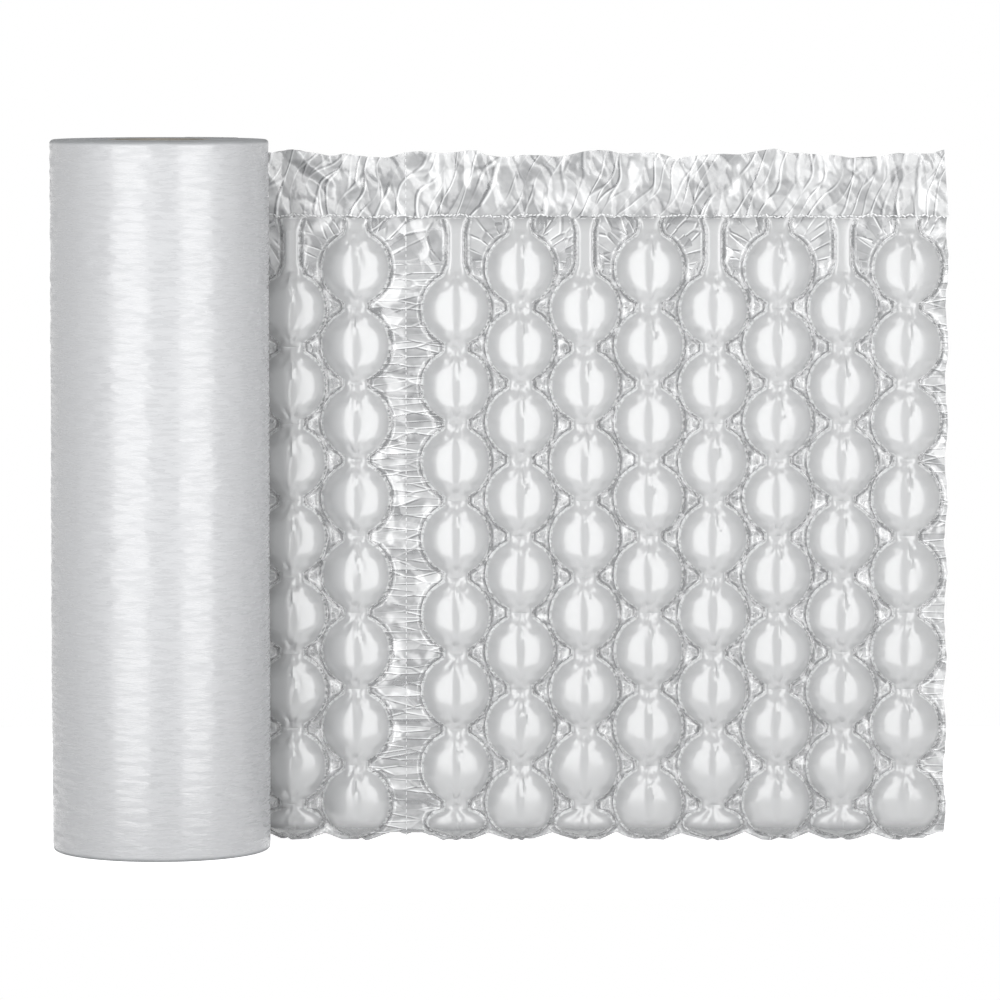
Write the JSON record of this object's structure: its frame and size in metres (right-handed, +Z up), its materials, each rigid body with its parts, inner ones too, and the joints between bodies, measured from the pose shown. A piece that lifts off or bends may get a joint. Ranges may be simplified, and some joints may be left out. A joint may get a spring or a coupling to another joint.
{
  "type": "air-column cushion film roll",
  "caption": "Roll of air-column cushion film on a paper tube, standing on its end, with its leading length inflated into columns of round air cells.",
  "frame": {"origin": "on the axis of the paper tube, at the end of the roll that stands on the floor", "axes": "+Z up along the tube's axis; the inflated length runs out towards +X and its front faces -Y"},
  "size_m": [0.5067, 0.123, 0.4],
  "materials": {
    "tube_board": "matte",
    "wound_film": "satin",
    "inflated_film": "gloss"
  },
  "bodies": {
    "root": {"core_tube": "tube_board", "film_roll": "wound_film", "inflated_sheet": "inflated_film"}
  },
  "joints": []
}
